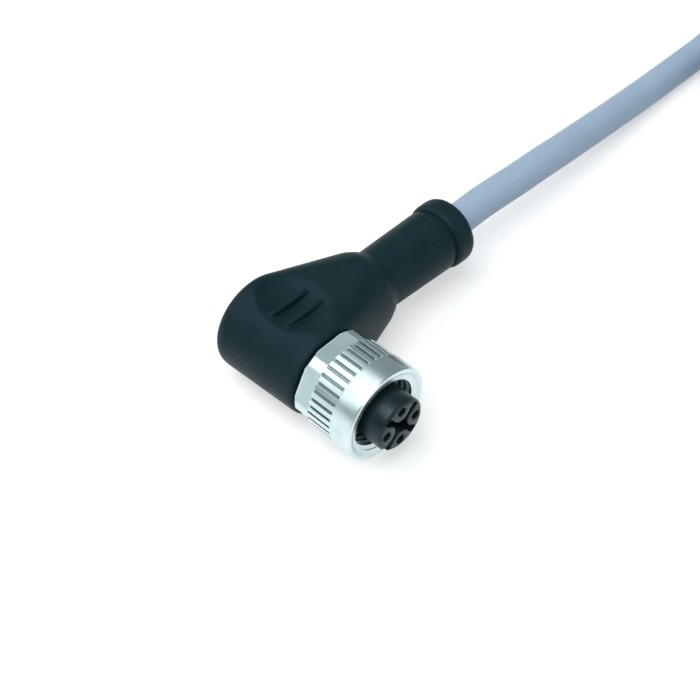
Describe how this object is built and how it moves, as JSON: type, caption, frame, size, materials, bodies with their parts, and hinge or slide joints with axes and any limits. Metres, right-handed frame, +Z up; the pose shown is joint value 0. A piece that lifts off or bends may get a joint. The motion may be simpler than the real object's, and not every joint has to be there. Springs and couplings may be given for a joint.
{
  "type": "right-angle m12 cable connector",
  "caption": "Right-angle round plug-in connector with a socket insert, a knurled coupling nut, a moulded grip with strain relief, and a folded length of grey cable.",
  "frame": {"origin": "centre of the contact insert's mating face", "axes": "-Y out of the mating face, +X along the cable's exit, +Z up with the connector lying on its side"},
  "size_m": [0.1971, 0.0492, 0.0318],
  "materials": {
    "grip": "fine matte moulded elastomer",
    "inner_plastic": "plain moulded",
    "insert": "satin moulded",
    "seal": "smooth",
    "nickel": "satin nickel plate",
    "contact_gold": "gold flashed",
    "core_brown": "satin",
    "core_white": "satin",
    "core_blue": "satin",
    "core_black": "satin",
    "copper": "tinned strands",
    "jacket": "smooth satin",
    "tie": "satin"
  },
  "bodies": {
    "connector": {"overmould": "grip", "inner_mould": "inner_plastic", "contact_carrier": "insert", "seal_ring": "seal", "contact_1": "contact_gold", "contact_2": "contact_gold", "contact_3": "contact_gold", "contact_4": "contact_gold", "wire_brown": "core_brown", "wire_white": "core_white", "wire_blue": "core_blue", "wire_black": "core_black", "conductor_brown": "copper", "conductor_white": "copper", "conductor_blue": "copper", "conductor_black": "copper", "cable_jacket": "jacket", "cable_hank": "jacket", "cable_tie": "tie"},
    "nut": {"coupling_nut": "nickel"}
  },
  "joints": [
    {"name": "nut_spin", "type": "hinge", "parent": "connector", "child": "nut", "pos_m": [0, 0.008, 0], "axis": [0, -1, 0], "continuous": true}
  ]
}
